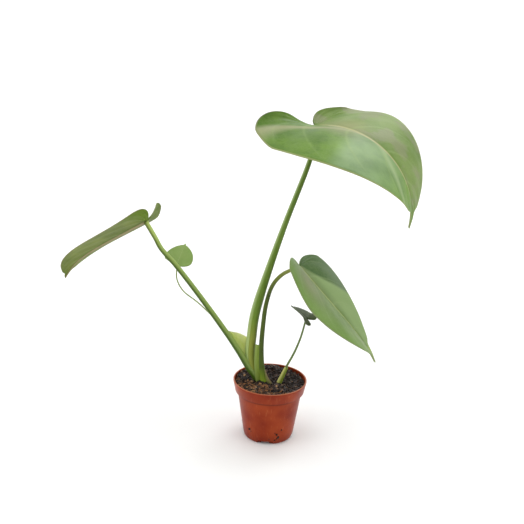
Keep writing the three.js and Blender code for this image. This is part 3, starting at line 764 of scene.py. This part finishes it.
SOIL_TOP, SOIL_CROWN, SOIL_EDGE = 47, 1, 28.1
SOIL_PROFILE = [(0, 3), (INNER_BASE - 0.35, 3), (BODY_TOP_RADIUS - 1.4, SHOULDER),
                (COLLAR_RADIUS - 1.4, COLLAR_BOTTOM + 0.3), (SOIL_EDGE, SOIL_TOP - 1)]
SOIL_RINGS, SOIL_STEPS = 44, 150
HEAP_PLACE, HEAP_HEIGHT, HEAP_SPREAD = (1, 21), 3.2, 45
LEFT_RISE = 0.6


def soil_height(x, y):
    """Height of the soil's top at a place, in millimetres."""
    away = (x - HEAP_PLACE[0]) ** 2 + (y - HEAP_PLACE[1]) ** 2
    heap = HEAP_HEIGHT * math.exp(-away / HEAP_SPREAD)
    dome = SOIL_CROWN * (1 - (x * x + y * y) / RIM_RADIUS ** 2) - LEFT_RISE * x / RIM_RADIUS
    clods = noise.fractal(Vector((x, y, 3)) * 0.16, 1, 2, 2)
    crumbs = noise.fractal(Vector((x, y, 7)) * 0.7, 1, 2, 4)
    return SOIL_TOP + dome + heap + 0.8 * clods + 0.6 * crumbs


bm = bmesh.new()
rings = [(SOIL_EDGE * (1 - i / SOIL_RINGS), SOIL_TOP) for i in range(1, SOIL_RINGS + 1)]
turn_profile(bm, SOIL_PROFILE + rings, SOIL_STEPS)
for corner in bm.verts:
    x, y, z = corner.co / MM
    if z > SOIL_TOP - 0.5:
        corner.co.z = soil_height(x, y) * MM
soil = link_mesh("soil_surface", bm)
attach(soil, "root")
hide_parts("soil")

# %% Scatter chips and crumbs
UNEVEN, TILT, SCATTER_REACH = 0.22, 0.6, 27.2


def scatter(name, count, seed, spread, sizes, lift=0.2):
    """Uneven little blocks on the soil; spread gives an angle and a distance for each."""
    rng = random.Random(seed)
    bm = bmesh.new()
    for _ in range(count):
        angle, distance = spread(rng)
        x, y = distance * math.cos(angle), distance * math.sin(angle)
        size = [rng.uniform(*pair) for pair in sizes]
        block = bmesh.ops.create_cube(bm, size=1)["verts"]
        for corner in block:
            corner.co = corner.co + Vector([rng.uniform(-UNEVEN, UNEVEN) for _ in range(3)])
        bmesh.ops.scale(bm, vec=Vector(size) * MM, verts=block)
        turn = Matrix.Rotation(rng.uniform(0, 2 * math.pi), 3, "Z") @ Matrix.Rotation(
            rng.uniform(-TILT, TILT), 3, "X") @ Matrix.Rotation(rng.uniform(-TILT, TILT), 3, "Y")
        bmesh.ops.rotate(bm, cent=(0, 0, 0), matrix=turn, verts=block)
        top = soil_height(x, y) + lift * size[2]
        bmesh.ops.translate(bm, vec=Vector((x, y, top)) * MM, verts=block)
    bmesh.ops.recalc_face_normals(bm, faces=bm.faces)
    pieces = link_mesh(name, bm, smooth=False)
    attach(pieces, "root")
    return pieces


def front_left(rng):
    return math.radians(rng.gauss(-118, 24)), min(12 + 15 * rng.random() ** 0.7, SCATTER_REACH)


def anywhere(rng):
    return rng.uniform(0, 2 * math.pi), SCATTER_REACH * math.sqrt(rng.random())


bark = scatter("bark_chips", 120, 11, front_left, [(1.4, 4), (0.9, 2), (0.5, 1.1)])
bark_dust = scatter("bark_dust", 260, 23, front_left, [(0.5, 1.3), (0.4, 0.9), (0.3, 0.6)])
peat = scatter("peat_crumbs", 900, 5, anywhere, [(0.8, 2.6), (0.7, 1.9), (0.6, 1.4)])
strays = scatter("stray_chips", 110, 31, anywhere, [(0.8, 2.6), (0.5, 1.2), (0.3, 0.7)])
grit = scatter("light_fibres", 80, 3, anywhere, [(1.4, 4.2), (0.18, 0.34), (0.18, 0.3)], 1.4)

# %% Leave a few crumbs on the wall of the pot
# Angle round the pot, height and size of each.
WALL_CRUMBS = [
    (-134, 11.3, 2.3), (-72, 9.5, 2.1), (-68, 6.7, 2.5), (-62, 13.4, 1.5), (-76, 11, 1.2),
    (-130, 9.8, 1.1), (-71, 5.4, 1.1), (-88, 5.5, 1), (-76, 4.2, 1.4)]

bm = bmesh.new()
rng = random.Random(9)
for angle, height, size in WALL_CRUMBS:
    reach = mix(BASE_RADIUS, BODY_TOP_RADIUS, (height - 2) / (SHOULDER - 2))
    block = bmesh.ops.create_icosphere(bm, subdivisions=1, radius=size / 2 * MM)["verts"]
    for corner in block:
        corner.co *= rng.uniform(0.7, 1.25)
    turn = Matrix.Rotation(math.radians(angle), 3, "Z")
    bmesh.ops.translate(bm, vec=turn @ Vector((reach, 0, 0)) * MM + Vector((0, 0, height * MM)),
                        verts=block)
wall_crumbs = link_mesh("wall_crumbs", bm, smooth=False)
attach(wall_crumbs, "root")

# %% [markdown]
# ## Leaf colours
# A living leaf is never one green. The blade is mottled, yellower between the veins and paler
# along them, its midrib is cream to tan, and a thin pale line runs round the margin. All of it is
# drawn on the UV map, where u runs round the margin and v is one half on the midrib.

# %% How deep a fine relief is
FINE_RELIEF = 0.1 * MM

# %% What every blade has


class LeafFinish(Finish):
    """A blade's finish: mottled green, side veins, a fine net, midrib and margin."""

    def __init__(self, name, veins, dark, light, roughness=0.45, gloss=0.2):
        super().__init__(name, roughness=roughness, Specular_IOR_Level=gloss)
        self.u, v = self.uv()
        self.share = self.math("ABSOLUTE", self.times_plus(v, 2, -1))
        leant = self.times_plus(self.times(self.share, self.share), -VEIN_LEAN, self.u)
        phase = self.times(leant, 2 * math.pi * veins)
        self.wave = self.times_plus(self.math("COSINE", phase), 0.5, 0.5)
        self.left_half = self.math("GREATER_THAN", v, 0.5)
        self.right_half = self.math("LESS_THAN", v, 0.5)
        self.mottle = self.noise(32, detail=5)
        self.net = self.add("TexVoronoi", settings={"feature": "DISTANCE_TO_EDGE"},
                            Vector=self.place(), Scale=420)
        self.base = self.body(dark, light)

    def body(self, dark, light):
        """Soft patches of a dark and a light green."""
        return self.mix(self.between(self.mottle, (0.36, 0), (0.62, 1)), dark, light)

    def along(self, *stops):
        """A factor that changes round the margin (u)."""
        return self.between(self.u, *stops)

    def outward(self, *stops):
        """A factor that changes from the midrib (0) to the margin (1)."""
        return self.between(self.share, *stops)

    def finish_blade(self, vein, rib, margin, vein_strength=0.3, rib_width=0.022):
        """Adds the net, the veins, the midrib and the margin, and a fine relief."""
        self.lay(self.between(self.noise(240, detail=3), (0.3, 0), (0.8, 0.12)), vein)
        self.lay(self.between(self.net, (0, 0.1), (0.12, 0)), vein)
        thin = self.math("POWER", self.wave, 60)
        fading = self.outward((0.02, 1), (0.75, 0.55), (0.95, 0))
        self.lay(self.times(thin, fading), vein, vein_strength)
        self.lay(self.outward((rib_width * 0.6, 1), (rib_width * 1.6, 0)), rib)
        self.lay(self.outward((0.975, 0), (0.992, 0.85)), margin)
        low = self.shader.inputs["Roughness"].default_value
        self.feed("Roughness", self.times_plus(self.mottle, 0.2, low - 0.1))
        relief = self.times_plus(thin, 0.5, self.times(self.net, 0.8))
        self.bump(self.times_plus(self.noise(700, detail=2), 0.5, relief), FINE_RELIEF)


# %% [markdown]
# ## The large leaf
# It hangs in bright light: yellow-green where it bends down at the front, with a painted grey-green
# sheen in the middle, and pale with dusky patches on the far half. A tan vein runs from the stalk
# into the near lobe, painted with a highlight along the crease it follows. Each zone is a ramp
# along the margin (u) or out from the midrib, laid over the mottled green, so it keeps its place on
# the leaf however the leaf is bent.

# %% Finish the large leaf
top = LeafFinish("large_leaf_top", 11, (0.06, 0.155, 0.004), (0.165, 0.31, 0.022),
                 roughness=0.42, gloss=0.21)
top.lay(top.left_half, top.body((0.1, 0.185, 0.02), (0.18, 0.265, 0.065)))
top.lay(top.along((0.52, 0.55), (0.58, 0)), (0.055, 0.135, 0.002), top.right_half)
patchy = top.noise(55, detail=4)
dusky = top.between(patchy, (0.5, 0), (0.6, 0.55))
top.lay(dusky, (0.23, 0.225, 0.14), top.left_half)
deep = top.between(patchy, (0.4, 0.5), (0.48, 0))
top.lay(deep, (0.05, 0.13, 0.002), top.right_half)
# Painted sheen: a pale grey-green over the middle of the near half stands in for the waxy shine.
painted_sheen = top.times(top.right_half, top.along(
    (0.55, 0), (0.575, 0.75), (0.635, 0.75), (0.69, 0.3), (0.74, 0)))
top.lay(top.times(painted_sheen, top.between(top.mottle, (0.3, 0.45), (0.6, 1))), (0.24, 0.35, 0.19))
by_stalk = top.along((0.45, 0), (0.53, 0.7), (0.59, 0))
top.lay(top.times(by_stalk, top.outward((0.08, 1), (0.4, 0))), (0.3, 0.29, 0.14))
off_streak = top.apart(top.u, top.times_plus(top.share, 0.14, 0.62))
streak = top.between(off_streak, (0.003, 0.6), (0.02, 0))
top.lay(streak, (0.34, 0.44, 0.22), top.right_half)
# A tan vein into the near lobe, painted with the highlight along the crease it follows.
inward = top.math("SUBTRACT", 1, top.share)
off_ridge = top.apart(top.u, top.times_plus(top.math("POWER", inward, 3), 0.17, 0.414))
ridge = top.between(off_ridge, (0.003, 0.8), (0.022, 0))
top.lay(ridge, (0.31, 0.31, 0.16), top.right_half)
rim = top.mix(top.along((0.34, 0), (0.46, 1)), (0.17, 0.17, 0.1), (0.34, 0.38, 0.15))
top.finish_blade((0.3, 0.4, 0.13), (0.4, 0.4, 0.19), rim, rib_width=0.018)

plain_under = LeafFinish("large_leaf_underside", 11, (0.12, 0.19, 0.035), (0.19, 0.27, 0.07),
                         roughness=0.6, gloss=0.3)
plain_under.finish_blade((0.3, 0.37, 0.15), (0.36, 0.4, 0.18), (0.3, 0.34, 0.16))
paint(blades["large_leaf"], top, plain_under)

# %% [markdown]
# ## The left leaf
# It is seen from below: an olive, matte underside. The midrib stands out as a pale,
# pinkish-tan ridge with its shadow painted as a dark line along it, the margin is brownish, and the
# green is brighter near the stalk.

# %% Finish the left leaf
under = LeafFinish("left_leaf_underside", 11, (0.085, 0.13, 0.012), (0.19, 0.235, 0.05),
                   roughness=0.6, gloss=0.15)
under.lay(under.along((0.3, 0.9), (0.46, 0)), (0.11, 0.195, 0.01))
# Painted shadow of the raised midrib: a dark line beside it on the left half.
line = under.outward((0.06, 0), (0.1, 0.75), (0.15, 0))
under.lay(line, (0.05, 0.085, 0.008), under.left_half)
under.finish_blade((0.23, 0.27, 0.09), (0.34, 0.27, 0.15), (0.19, 0.17, 0.09),
                   vein_strength=0.7, rib_width=0.04)

top = LeafFinish("left_leaf_top", 11, (0.12, 0.17, 0.04), (0.18, 0.24, 0.08))
top.finish_blade((0.34, 0.4, 0.18), (0.38, 0.42, 0.2), (0.3, 0.3, 0.16))
paint(blades["left_leaf"], top, under)

# %% [markdown]
# ## The right leaf and the small ones
# The right leaf is a greyer green, fresher along its lower edge, with a purple-brown tint along the
# midrib, painted shade on the upper lobe beyond a soft crease, and a bright drip tip. Beside the
# midrib, painted light on the upper half and painted shade on the lower half even out the fold. The
# young leaf has only just unrolled; its dark green is painted shade, and the small leaf at the back
# is a plain light green.

# %% Finish the right leaf
top = LeafFinish("right_leaf_top", 10, (0.13, 0.21, 0.055), (0.205, 0.28, 0.11), gloss=0.12)
top.lay(top.outward((0.55, 0), (0.9, 0.6)), (0.15, 0.28, 0.04), top.right_half)
# Painted light on the upper half and painted shade by the midrib on the lower half even out the
# fold.
top.lay(top.outward((0.04, 0), (0.3, 0.7)), (0.27, 0.385, 0.155), top.left_half)
top.lay(top.outward((0.02, 0.8), (0.45, 0)), (0.11, 0.21, 0.028), top.right_half)
# Painted shade: the upper lobe beyond the crease is darkened, greyer towards its margin.
beyond_crease = top.math("SUBTRACT", top.times_plus(top.share, 0.165, 0.463), top.u)
lobe = top.between(beyond_crease, (0, 0), (0.02, 0.85))
greyer_outward = top.times(top.outward((0.5, 0), (0.85, 1)), top.along((0.4, 0), (0.5, 1)))
lobe_shade_green = top.mix(greyer_outward, (0.025, 0.085, 0.006), (0.11, 0.165, 0.095))
top.lay(lobe, lobe_shade_green, top.left_half)
patch = top.times(top.outward((0.1, 0.3), (0.5, 0.6), (0.9, 0)),
                  top.along((0.42, 0), (0.48, 1), (0.56, 0)))
top.lay(patch, (0.23, 0.21, 0.12), top.right_half)
flush = top.times(top.outward((0, 0.45), (0.14, 0)),
                  top.along((0.4, 0), (0.47, 1), (0.66, 0)))
top.lay(flush, (0.25, 0.22, 0.13))
top.lay(top.along((0.84, 0), (0.9, 0.9)), (0.3, 0.39, 0.11))
top.finish_blade((0.28, 0.37, 0.16), (0.44, 0.5, 0.21), (0.24, 0.29, 0.13), rib_width=0.03)
paint(blades["right_leaf"], top, plain_under)

# %% Finish the small leaves
YOUNG_LINES = (0.15, 0.19, 0.09), (0.15, 0.19, 0.08), (0.13, 0.16, 0.09)

# Painted shade: both sides of the young leaf are a dark green for the shade it hangs in.
top = LeafFinish("young_leaf_top", 7, (0.04, 0.062, 0.024), (0.1, 0.125, 0.055))
top.finish_blade(*YOUNG_LINES)
under = LeafFinish("young_leaf_underside", 7, (0.055, 0.085, 0.03), (0.11, 0.14, 0.06),
                   roughness=0.55, gloss=0.25)
under.finish_blade(*YOUNG_LINES)
paint(blades["young_leaf"], top, under)

both_sides = LeafFinish("back_leaf_top", 8, (0.17, 0.29, 0.05), (0.23, 0.34, 0.085))
both_sides.finish_blade((0.29, 0.4, 0.12), (0.28, 0.38, 0.12), (0.28, 0.36, 0.14), 0.15)
paint(blades["back_leaf"], both_sides, both_sides)

# %% [markdown]
# ## Stalk colours
# Stalks are smooth and a little glossy, streaked along their length. Each has its own run of
# greens from the soil up to the blade, which a ramp along the UV map gives.

# %% Stalk finishes
STREAKS = 0.3


class StalkFinish(Finish):
    """Greens that change from the soil (u = 0) to the blade (u = 1), with long fine streaks."""

    def __init__(self, name, stops, streak):
        super().__init__(name, roughness=0.45, Specular_IOR_Level=0.2)
        self.u, across = self.uv()
        self.turn = self.times_plus(across, 2, -1)
        fibres = self.noise(700, detail=3, stretch=(1, 1, 0.06))
        self.base = self.ramp(self.u, stops)
        self.lay(self.math("MAXIMUM", self.times_plus(fibres, STREAKS, -STREAKS * 0.35)), streak)
        self.lay(self.noise(60, detail=3), stops[0][1], 0.2)
        self.bump(fibres, FINE_RELIEF)

    def side(self, turn, colour, amount, edge=0.75):
        """Paints light and shade on the side of the stalk that lies at turn, fading out round it.
        """
        away = self.times(self.math("SUBTRACT", self.turn, turn), 2 * math.pi)
        near = self.times_plus(self.math("COSINE", away), 0.5, 0.5)
        return self.lay(self.between(near, (edge, 0), (0.97, amount)), colour)


# %% Finish the stalks
left_green = StalkFinish("left_stalk_green", [
    (0, (0.17, 0.28, 0.035)), (0.25, (0.14, 0.22, 0.025)), (0.7, (0.18, 0.25, 0.04)),
    (0.84, (0.42, 0.52, 0.11)), (0.95, (0.78, 0.88, 0.23))], (0.3, 0.4, 0.1))
# Painted shade on one side of the left stalk and a painted highlight on the other.
left_green.side(0.13, (0.035, 0.08, 0.004), 0.85, 0.5).side(0.46, (0.36, 0.48, 0.14), 0.75, 0.55)
paint(stalks["left_leaf"], left_green)

large_green = StalkFinish("large_stalk_green", [
    (0, (0.26, 0.31, 0.045)), (0.34, (0.27, 0.3, 0.04)), (0.46, (0.12, 0.225, 0.018)),
    (0.85, (0.085, 0.16, 0.022)), (1, (0.22, 0.28, 0.09))], (0.3, 0.37, 0.11))
low = large_green.between(large_green.u, (0.35, 1), (0.5, 0))
wrap = large_green.between(large_green.turn, (0, 1), (WRAP_EDGE - 0.035, 1),
                           (WRAP_EDGE, 0), (0.88, 0), (0.95, 1))
large_green.lay(wrap, (0.38, 0.48, 0.14), low)
edge = large_green.between(large_green.turn, (WRAP_EDGE - 0.03, 0), (WRAP_EDGE - 0.012, 1),
                           (WRAP_EDGE + 0.01, 0))
large_green.lay(edge, (0.16, 0.2, 0.02), low)
# Painted highlight on one side of the large stalk and painted shade on the other.
large_green.side(0.02, (0.36, 0.46, 0.2), 0.75, 0.7).side(0.48, (0.06, 0.1, 0.015), 0.6)
paint(stalks["large_leaf"], large_green)

paint(stalks["right_leaf"], StalkFinish("right_stalk_green", [
    (0, (0.38, 0.52, 0.06)), (0.13, (0.26, 0.38, 0.03)), (0.3, (0.035, 0.068, 0.006)),
    (0.45, (0.016, 0.034, 0.003)), (0.72, (0.024, 0.042, 0.004)), (0.88, (0.16, 0.18, 0.035)),
    (0.97, (0.26, 0.28, 0.08))], (0.1, 0.15, 0.025)))
paint(stalks["young_leaf"], StalkFinish("young_stalk_green", [
    (0, (0.16, 0.22, 0.05)), (0.5, (0.11, 0.17, 0.04)), (1, (0.13, 0.18, 0.06))],
    (0.25, 0.32, 0.12)))
paint(stalks["back_leaf"], StalkFinish("back_stalk_green", [
    (0, (0.22, 0.3, 0.08)), (1, (0.3, 0.36, 0.14))], (0.4, 0.46, 0.24)))

# %% Finish the sheaths and the scale leaf


def sheath_finish(name, low_colour, high_colour, edge_colour, across=(0.75, 1), glow=0):
    """A thin sheath: fibres along it, another colour at its free edge, light shining through."""
    finish = Finish(name, roughness=0.45, Specular_IOR_Level=0.2, Subsurface_Weight=glow,
                    Subsurface_Radius=(1, 1, 0.7), Subsurface_Scale=1.5 * MM)
    _, v = finish.uv()
    fibres = finish.noise(600, detail=3, stretch=(1, 1, 0.1))
    finish.base = finish.mix(fibres, low_colour, high_colour)
    finish.lay(finish.between(v, (across[0], 0), (across[1], 0.85)), edge_colour)
    finish.bump(fibres, FINE_RELIEF)
    return finish


paint(sheaths["left_leaf"], sheath_finish(
    "sheath_wing", (0.46, 0.54, 0.17), (0.64, 0.7, 0.33), (0.72, 0.76, 0.46), glow=0.7))
paint(sheaths["right_leaf"], sheath_finish(
    "sheath_edge", (0.15, 0.23, 0.02), (0.23, 0.31, 0.05), (0.24, 0.32, 0.08)))
paint(sheaths["dried"], sheath_finish(
    "dried_sheath", (0.17, 0.19, 0.05), (0.26, 0.26, 0.09), (0.24, 0.15, 0.09)))
paint(scale_leaf, sheath_finish(
    "papery_scale", (0.15, 0.21, 0.02), (0.26, 0.32, 0.045), (0.62, 0.6, 0.2), (0.87, 0.95)))

# %% [markdown]
# ## Plastic and soil
# The pot is thin satin plastic in a brick orange, a little darker in patches, with fine upright
# streaks. The soil is nearly black, and each chip and crumb takes its own shade of brown.

# %% Pot finish
RAMP_REACH = 50

plastic = Finish("brick_plastic", roughness=0.36, Specular_IOR_Level=0.16)
streaks = plastic.noise(900, detail=4, stretch=(1, 1, 0.09))
patches = plastic.noise(55, detail=4)
raised = plastic.times(plastic.add("SeparateXYZ", Vector=plastic.place(), output=2),
                       1 / (RAMP_REACH * MM))


def at_height(*stops):
    """A factor that follows the (height in millimetres, amount) stops up the pot."""
    return plastic.between(raised, *[(height / RAMP_REACH, amount) for height, amount in stops])


plastic.base = plastic.mix(plastic.between(patches, (0.35, 0), (0.65, 1)),
                           (0.215, 0.018, 0.002), (0.33, 0.045, 0.008))
plastic.lay(plastic.between(streaks, (0.6, 0), (0.72, 0.35)), (0.48, 0.13, 0.05))
shade_under_collar = at_height((COLLAR_BOTTOM - 2.4, 0), (COLLAR_BOTTOM - 1, 0.8),
                               (COLLAR_BOTTOM + 0.2, 0.5), (COLLAR_BOTTOM + 0.7, 0))
plastic.lay(shade_under_collar, (0.1, 0.01, 0.002))
# Painted highlight: a paler line along the top edge of the rim.
plastic.lay(at_height((POT_HEIGHT - 0.5, 0), (POT_HEIGHT - 0.1, 0.6)), (0.55, 0.2, 0.1))
# Painted shade: darker in patches towards the foot of the pot.
plastic.lay(at_height((2, 0.75), (9, 0)), (0.14, 0.018, 0.006), patches)
plastic.feed("Roughness", plastic.times_plus(streaks, 0.2, 0.24))
plastic.bump(streaks, 0.06 * MM)
paint(pot, plastic)

# %% Soil finishes
earth = Finish("moist_peat", roughness=0.7, Specular_IOR_Level=0.2)
earth.base = earth.ramp(earth.noise(900, detail=5), [
    (0.35, (0.004, 0.003, 0.003)), (0.55, (0.022, 0.013, 0.01)), (0.75, (0.08, 0.045, 0.03))])
earth.bump(earth.noise(1400, detail=4), 0.4 * MM)
paint(soil, earth)


def grain_finish(name, stops, roughness=0.7):
    """Each grain takes its own shade from the stops."""
    finish = Finish(name, roughness=roughness, Specular_IOR_Level=0.25)
    finish.base = finish.ramp(finish.add("NewGeometry", output="Random Per Island"), stops)
    finish.lay(finish.noise(1500), (0.04, 0.02, 0.012), 0.45)
    finish.bump(finish.noise(2500, detail=2), 0.15 * MM)
    return finish


tan = grain_finish("bark_tan", [
    (0, (0.05, 0.022, 0.012)), (0.35, (0.2, 0.085, 0.035)), (0.7, (0.42, 0.2, 0.085)),
    (1, (0.66, 0.4, 0.19))])
paint(bark, tan)
paint(bark_dust, tan)
paint(strays, grain_finish("stray_bark", [
    (0, (0.05, 0.025, 0.016)), (0.6, (0.17, 0.08, 0.045)), (1, (0.38, 0.22, 0.13))]))
paint(peat, grain_finish("peat_brown", [
    (0, (0.003, 0.002, 0.003)), (0.7, (0.016, 0.01, 0.009)), (0.9, (0.08, 0.045, 0.032)),
    (1, (0.22, 0.15, 0.12))], roughness=0.42))
paint(wall_crumbs, earth)
paint(grit, grain_finish("fibre_pale", [
    (0, (0.14, 0.08, 0.05)), (1, (0.36, 0.25, 0.16))]))
paint(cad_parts["main_stem"], StalkFinish("stem_green", [
    (0, (0.18, 0.26, 0.06)), (1, (0.22, 0.3, 0.08))], (0.3, 0.38, 0.12)))

# %% [markdown]
# ## Which material of the record each piece shows
# The record lists the plant's materials by slot, and this table lists the new pieces that show
# each.

# %% Name the slots
SLOTS = {
    "leaf_top": [blades["large_leaf"]], "leaf_underside": [blades["left_leaf"]],
    "leaf_grey_green": [blades["right_leaf"]], "leaf_dark": [blades["young_leaf"]],
    "leaf_light": [blades["back_leaf"]], "pale_stalk": [stalks["back_leaf"]],
    "stalk": [stalks["large_leaf"], stalks["left_leaf"], sheaths["left_leaf"]],
    "dark_stalk": [stalks["right_leaf"], stalks["young_leaf"], sheaths["right_leaf"]],
    "scale_leaf": [sheaths["dried"], scale_leaf], "pot": [pot],
    "soil": [soil, bark, bark_dust, peat, strays, grit, wall_crumbs],
}
for slot, pieces in SLOTS.items():
    print(slot, "shows on", ", ".join(piece.name for piece in pieces))
